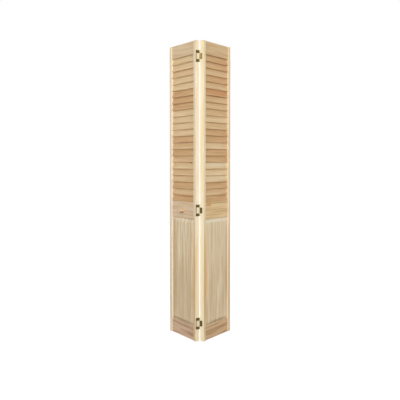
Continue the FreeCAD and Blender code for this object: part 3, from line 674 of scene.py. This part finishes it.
def metal(name, dark, middle, light, smooth, rough, cloud_size, painted_reflection=None):
    """Stamped or turned metal that is plated, or darkened in a bath: clouded tone, a satin sheen and a
    fine grain. Round the pins' axis the tone may be painted paler: a painted reflection of the white
    surroundings on the round knuckles."""
    material, tree = new_material(name)
    where = add(tree, "ShaderNodeTexCoord")
    cloud = add(tree, "ShaderNodeTexNoise", {
        "Vector": where.outputs["Object"], "Scale": 1 / cloud_size, "Detail": 4.0})
    grain = add(tree, "ShaderNodeTexNoise", {
        "Vector": where.outputs["Object"], "Scale": 1 / PLATING_GRAIN, "Detail": 2.0})
    colour = add(tree, "ShaderNodeValToRGB", {"Fac": cloud.outputs["Fac"]}, stops=(
        (0.25, srgb(dark)), (0.55, srgb(middle)), (0.85, srgb(light))))
    roughness = add(tree, "ShaderNodeValToRGB", {"Fac": cloud.outputs["Fac"]}, stops=(
        (0.2, grey(rough)), (0.9, grey(smooth))))
    bump = add(tree, "ShaderNodeBump", {
        "Height": grain.outputs["Fac"], "Strength": 0.2, "Distance": 0.03 * MM})
    colour = colour.outputs["Color"]
    # Painted reflection: near the pins' axis the colour turns paler, as the round knuckles catch the
    # white surroundings.
    if painted_reflection:
        centred = add(tree, "ShaderNodeMapping", {
            "Vector": where.outputs["Object"], "Location": (0, PINS.y, 0),
            "Scale": (REFLECTION_REACH, REFLECTION_REACH, 100.0)}, vector_type="TEXTURE")
        near = add(tree, "ShaderNodeTexGradient", {
            "Vector": centred.outputs[0]}, gradient_type="SPHERICAL")
        reflection_share = add(tree, "ShaderNodeMapRange", {
            "Value": near.outputs["Fac"], "From Min": 0.0, "From Max": 0.12, "To Max": 0.85})
        colour = add(tree, "ShaderNodeMix", {
            "Factor": reflection_share.outputs["Result"], 6: colour, 7: srgb(painted_reflection)}, data_type="RGBA").outputs[2]
    shader = add(tree, "ShaderNodeBsdfPrincipled", {
        "Base Color": colour, "Roughness": roughness.outputs["Color"],
        "Metallic": 0.95, "Normal": bump.outputs["Normal"]})
    add(tree, "ShaderNodeOutputMaterial", {"Surface": shader.outputs[0]})
    return material


def finish_node(node, material):
    slots = frame["nodes"][node].data.materials
    slots.clear()
    slots.append(material)


# Surroundings

# The lens and the sensor are in millimetres, and the shift is a share of the sensor's width.
CAMERA_DISTANCE = 4.646
CAMERA_ASIDE = 0.050
CAMERA_TURN = math.radians(0.60)
CAMERA_HEIGHT = 1.2129
CAMERA_DIP = math.radians(2.434)
CAMERA_LENS = 61.07
SENSOR = 36.0
HORIZON_SHIFT = -0.0278


def make_camera():
    data = bpy.data.cameras.new("camera")
    data.sensor_width = SENSOR
    data.lens = CAMERA_LENS
    data.shift_y = HORIZON_SHIFT
    camera = bpy.data.objects.new("camera", data)
    camera.location = (CAMERA_ASIDE, -CAMERA_DISTANCE, CAMERA_HEIGHT)
    camera.rotation_euler = (math.radians(90) - CAMERA_DIP, 0, CAMERA_TURN)
    bpy.context.scene.collection.objects.link(camera)
    bpy.context.scene.camera = camera


def seen_rays(tree):
    """1 for rays that show white surroundings: those of the camera, of gloss and through glass."""
    path = add(tree, "ShaderNodeLightPath")
    either = add(tree, "ShaderNodeMath", {
        0: path.outputs["Is Camera Ray"], 1: path.outputs["Is Glossy Ray"]}, operation="MAXIMUM")
    return add(tree, "ShaderNodeMath", {
        0: either.outputs[0], 1: path.outputs["Is Transmission Ray"]}, operation="MAXIMUM").outputs[0]


# The surroundings light the door at this level, and are seen as white.
WORLD_LEVEL = 0.375

# The two broad lamps: the side each is on, how strong it is and how high it stands.
LAMPS = {"front": (-1, 0.77, math.radians(15)), "back": (1, 0.42, math.radians(30))}
LAMP_SOFTNESS = math.radians(80)
LAMP_DISTANCE = 4.0
LAMP_LIFT = 3.0

# The floor's own tone, how strong the white over it is, how much of the tone shows through that, and
# how far the floor reaches.
FLOOR_TONE = "#b4b4b4"
FLOOR_GLOW = 0.94
FLOOR_SHARE = 0.25
FLOOR_REACH = 8.0


def make_world():
    world = bpy.data.worlds.new("studio")
    world.use_nodes = True
    tree = world.node_tree
    tree.nodes.clear()
    level = add(tree, "ShaderNodeMapRange", {
        "Value": seen_rays(tree), "To Min": WORLD_LEVEL, "To Max": 1.0})
    light = add(tree, "ShaderNodeBackground", {
        "Color": srgb("#ffffff"), "Strength": level.outputs["Result"]})
    add(tree, "ShaderNodeOutputWorld", {"Surface": light.outputs[0]})
    bpy.context.scene.world = world


def make_lamps():
    """Broad lamps in front and behind, so far off that they light the door's head and foot alike."""
    for name, (side, level, height) in LAMPS.items():
        data = bpy.data.lights.new(name, "SUN")
        data.energy = math.pi * level
        data.angle = LAMP_SOFTNESS
        lamp = bpy.data.objects.new(name, data)
        lamp.location = (0, side * LAMP_DISTANCE, LAMP_LIFT)
        lamp.rotation_euler = (-side * (math.radians(90) - height), 0, 0)
        bpy.context.scene.collection.objects.link(lamp)


def make_floor():
    """A matt white studio floor that fades into the white surroundings and keeps a faint shadow."""
    material, tree = new_material("studio_floor")
    seen = seen_rays(tree)
    dim = add(tree, "ShaderNodeMapRange", {"Value": seen, "To Min": 0.0, "To Max": 1.0 - FLOOR_SHARE})
    matt = add(tree, "ShaderNodeBsdfDiffuse", {"Color": srgb(FLOOR_TONE)})
    black = add(tree, "ShaderNodeBsdfDiffuse", {"Color": srgb("#000000")})
    thinned = add(tree, "ShaderNodeMixShader", {
        "Fac": dim.outputs["Result"], 1: matt.outputs[0], 2: black.outputs[0]})
    glow = add(tree, "ShaderNodeMath", {0: seen, 1: FLOOR_GLOW}, operation="MULTIPLY")
    white = add(tree, "ShaderNodeEmission", {"Color": srgb("#ffffff"), "Strength": glow.outputs[0]})
    floor = add(tree, "ShaderNodeAddShader", {0: thinned.outputs[0], 1: white.outputs[0]})
    add(tree, "ShaderNodeOutputMaterial", {"Surface": floor.outputs[0]})
    mesh = bpy.data.meshes.new("studio_floor")
    corners = [(x * FLOOR_REACH, y * FLOOR_REACH, 0) for x, y in ((-1, -1), (1, -1), (1, 1), (-1, 1))]
    mesh.from_pydata(corners, [], [(0, 1, 2, 3)])
    mesh.materials.append(material)
    place("studio_floor", mesh)


# What each board was cut from: the way its grain runs, the place of the pith, and its earlywood and
# latewood.
BOARDS = {
    "lead_outer_stile": ("z", (0.40, 0.05, 0.1), "#fdeed0", "#edd0a2"),
    "lead_hinge_stile": ("z", (0.06, 0.07, 0.7), "#fdf0d4", "#efd1a2"),
    "pivot_outer_stile": ("z", (-0.25, 0.05, 0.3), "#fbe8c6", "#e9c795"),
    "pivot_hinge_stile": ("z", (0.03, 0.08, 0.9), "#fff3d0", "#f5daa8"),
    "lead_top_rail": ("x", (-1.93, 0.06, 1.0), "#f0d7b0", "#dab889"),
    "pivot_top_rail": ("x", (-1.91, 0.05, 2.0), "#eacb9d", "#d2a978"),
    "lead_mid_rail": ("x", (-0.85, 0.07, 3.0), "#f3dab8", "#dcba8e"),
    "pivot_mid_rail": ("x", (-0.86, 0.05, 4.0), "#f8daa8", "#e2b87a"),
    "lead_bottom_rail": ("x", (-0.03, 0.05, 5.0), "#e4c4a3", "#c3987a"),
    "pivot_bottom_rail": ("x", (-0.05, 0.06, 6.0), "#e2c097", "#c39663"),
}
PANEL_BOARDS = ("z", (0.02, 0.06, 2.0), "#fdedce", "#dcbb8a")
PANEL_STRIP = 68 * MM
SLAT_BOARDS = ("x", (0.0, 0.05, 0.0), "#f8deb2", "#e2bf88")
SLAT_HEARTWOOD = ("#deb07c", "#c28d54")

# How strongly the figure shows.
FIGURES = {
    "stile": 1.2, "top_rail": 1.6, "mid_rail": 1.8, "bottom_rail": 3.4, "panel": 1.9, "slats": 1.4,
}

# A mark that runs through a board has its middle here in the leaf's depth, and this half depth.
BOARD_DEPTH = -18
THROUGH = 50


def through(across, height, half_width, half_height, tint, strength):
    """A mark that shows on both faces of its board, in the leaf's own millimetres."""
    return (across, BOARD_DEPTH, height), (half_width, THROUGH, half_height), tint, strength


# Resin streaks, knots, and darker or paler wood, and also painted light and shade: painted highlights on
# the panels' top and hinge-side bevels and on the outer stiles' inner edges, painted shade on the panels'
# bottom bevels, and painted light and shade that make the stiles and panels darker towards the bottom.
# Those that aren't through give their middle, their half size, their colour and their strength.
MARKS = {
    "lead_panel": (
        through(296, 460, 22, 420, "#c39a68", 0.55),
        through(262, 400, 7, 340, "#cf9a5c", 0.60),
        through(186, 500, 10, 330, "#bf9a6a", 0.45),
        # Painted highlight: the hinge-side bevel is painted pale, as it faces the light.
        through(48, 450, 14, 420, "#fbdcb4", 0.70),
        through(76, 500, 12, 450, "#cba577", 0.45),
        # Painted shade: the lower part of the panel is darker, as less light reaches it there.
        through(180, 260, 300, 300, "#c9ad7e", 0.35),
        # Painted highlight: the panel's top bevel is painted pale, as it faces up into the light.
        through(180, 802, 200, 11, "#fff3dc", 0.35),
        # Painted shade: the panel's bottom bevel is painted dark, as it faces down, away from the light.
        through(180, 106, 200, 12, "#a08a62", 0.60),
    ),
    "pivot_panel": (
        # A golden streak in the wood, and with it a painted highlight on the hinge-side bevel, which
        # faces the light.
        through(42, 500, 18, 330, "#f5c27c", 0.85),
        through(112, 680, 9, 150, "#b0824a", 0.65),
        through(105, 450, 18, 400, "#e0bc88", 0.50),
        through(318, 450, 11, 520, "#ad8450", 0.70),
        through(294, 450, 10, 420, "#c0965a", 0.65),
        through(272, 450, 14, 420, "#dfbf8e", 0.45),
        # Painted light: the upper part of the panel is paler, as more light falls there.
        through(180, 700, 300, 330, "#fae8c4", 0.35),
        # Painted highlight: the panel's top bevel is painted pale, as it faces up into the light.
        through(180, 800, 260, 14, "#fff6e2", 0.60),
        # Painted shade: the panel's bottom bevel is painted dark, as it faces down, away from the light.
        through(180, 106, 200, 12, "#a08a5c", 0.60),
    ),
    "pivot_mid_rail": (
        through(66, 913, 50, 14, "#dfa04e", 0.75),
        through(200, 919, 180, 3.5, "#a8763c", 0.65),
        through(190, 875, 180, 3, "#b0834c", 0.50),
        through(200, 861, 190, 3, "#b0834c", 0.60),
        through(160, 842, 140, 3, "#bf9058", 0.50),
    ),
    "lead_outer_stile": (
        # Painted highlight: the inner edge beside the slats and panel is painted pale, as it faces the
        # light.
        through(327, 1000, 7, 1300, "#fff8ea", 0.75),
        # Painted shade: the front face is darker over its lower half, as less light reaches it there.
        ((342, -34, 380), (18, 7, 600), "#d8c2a8", 0.60),
    ),
    "pivot_outer_stile": (
        # Painted highlight: the inner edge beside the slats and panel is painted pale, as it faces the
        # light.
        through(327, 1000, 7, 1300, "#ffeccb", 0.75),
        # Painted shade: the front face is darker over its lower half, as less light reaches it there.
        ((342, -34, 380), (18, 7, 600), "#cfae84", 0.70),
    ),
    "lead_hinge_stile": (
        ((2, -18, 330), (12, 40, 560), "#f0d4a4", 0.50),
        ((2, -23, 560), (6, 5, 170), "#f3c87f", 0.60),
        # Painted shade: the front face is darker over its lower half, as less light reaches it there.
        ((16, -34, 380), (18, 7, 600), "#d2ac74", 0.70),
    ),
    "pivot_hinge_stile": (
        ((2, -20, 1450), (6, 5, 160), "#f4d08c", 0.40),
        ((2, -16, 1160), (6, 5, 150), "#f3cf88", 0.35),
        # Painted shade: the front face is darker over its lower half, as less light reaches it there.
        ((16, -34, 380), (18, 7, 600), "#cfae7c", 0.75),
        ((30, -22, 500), (9, 20, 330), "#f8c488", 0.75),
    ),
    "lead_bottom_rail": (
        through(190, 74, 130, 6, "#a67b58", 0.60),
        through(120, 40, 100, 5, "#ad8460", 0.50),
    ),
    "pivot_bottom_rail": (
        through(150, 84, 120, 4, "#a67c50", 0.60),
        through(210, 60, 120, 5, "#a87e52", 0.60),
        through(120, 35, 90, 5, "#ad8656", 0.50),
    ),
    "lead_slats": (
        through(170, 1335, 90, 8, "#cf8e66", 0.70),
        through(80, 1195, 16, 10, "#b98d4e", 0.75),
        through(190, 1205, 100, 6, "#d79f70", 0.55),
        through(130, 965, 120, 6, "#cd8a5e", 0.60),
    ),
    "pivot_slats": (
        through(180, 1673, 260, 24, "#d3925a", 0.60),
        through(180, 1180, 260, 22, "#fdecca", 0.55),
        through(180, 1090, 260, 22, "#fdecca", 0.40),
        through(180, 1645, 150, 6, "#c07c48", 0.70),
        through(150, 1628, 110, 4, "#bd7a46", 0.60),
        through(230, 960, 90, 6, "#cc8c58", 0.50),
    ),
}


def dress_boards():
    for board, wood in BOARDS.items():
        leaf, kind = board.split("_", 1)
        figure = FIGURES[kind.removeprefix("outer_").removeprefix("hinge_")]
        finish_node(board, pine(f"pine_{board}", HANDS[leaf], *wood, figure=figure,
                                marks=MARKS.get(board, ())))


def dress_leaf(leaf, hand, plating):
    make_panel(leaf, pine(f"pine_{leaf}_panel", hand, *PANEL_BOARDS, figure=FIGURES["panel"],
                          strips=PANEL_STRIP, marks=MARKS[f"{leaf}_panel"]))
    finish_node(f"{leaf}_dowels", birch(f"beech_{leaf}_dowels"))
    make_slats(leaf, pine(f"pine_{leaf}_slats", hand, *SLAT_BOARDS, figure=FIGURES["slats"],
                          heartwood=SLAT_HEARTWOOD, marks=MARKS[f"{leaf}_slats"]))
    make_hinge_screws(leaf, plating)


def dress_hinges(brass, highlit_brass):
    """The top hinge's inner leaf is painted paler than the others: a painted highlight, where the light
    glints off it.
    """
    for height in ("top", "mid", "bottom"):
        soften(f"{height}_hinge_outer_leaf", f"{height}_hinge_window_plate", "lead_leaf", brass)
        soften(f"{height}_hinge_inner_leaf", f"{height}_hinge_tongue_plate", "pivot_leaf",
               highlit_brass if height == "top" else brass)
        soften(f"{height}_hinge_pin", f"{height}_hinge_rivet_pin", "lead_leaf", brass)


make_camera()
make_world()
make_lamps()
make_floor()

dress_boards()

# Pale, warm brass with a satin sheen, for the top hinge's inner leaf: its paleness is a painted
# highlight, where the light glints off that leaf.
painted_highlight_brass = metal("painted_highlight_brass", "#8a7648", "#b09a62", "#cfba82", 0.28, 0.42, 4.5 * MM)

# Brass darkened in a bath: brown and clouded, with the knuckles painted pale: a painted reflection of the
# white surroundings.
antique_brass = metal("antique_brass", "#463820", "#65532e", "#8f7846", 0.30, 0.48, 4.5 * MM,
                      painted_reflection="#b9ad88")

# Steel screws plated with bronze: brown, and glossier than the plates they hold.
bronze_plating = metal("bronze_plated_steel", "#54452c", "#75623c", "#9c8452", 0.28, 0.42, 3.0 * MM)

# Steel plated with zinc: a cool, pale grey that shines a little more.
zinc_plating = metal("zinc_plated_steel", "#8f9296", "#a9acb0", "#c6c8ca", 0.25, 0.38, 2.5 * MM)

for leaf_name, hand_sign in HANDS.items():
    dress_leaf(leaf_name, hand_sign, bronze_plating)
make_knob(birch("birch_knob", painted_shade_below=KNOB_SHADE_LINE))
make_knob_screw(zinc_plating)
dress_hinges(antique_brass, painted_highlight_brass)

bpy.context.scene.view_settings.view_transform = "Standard"
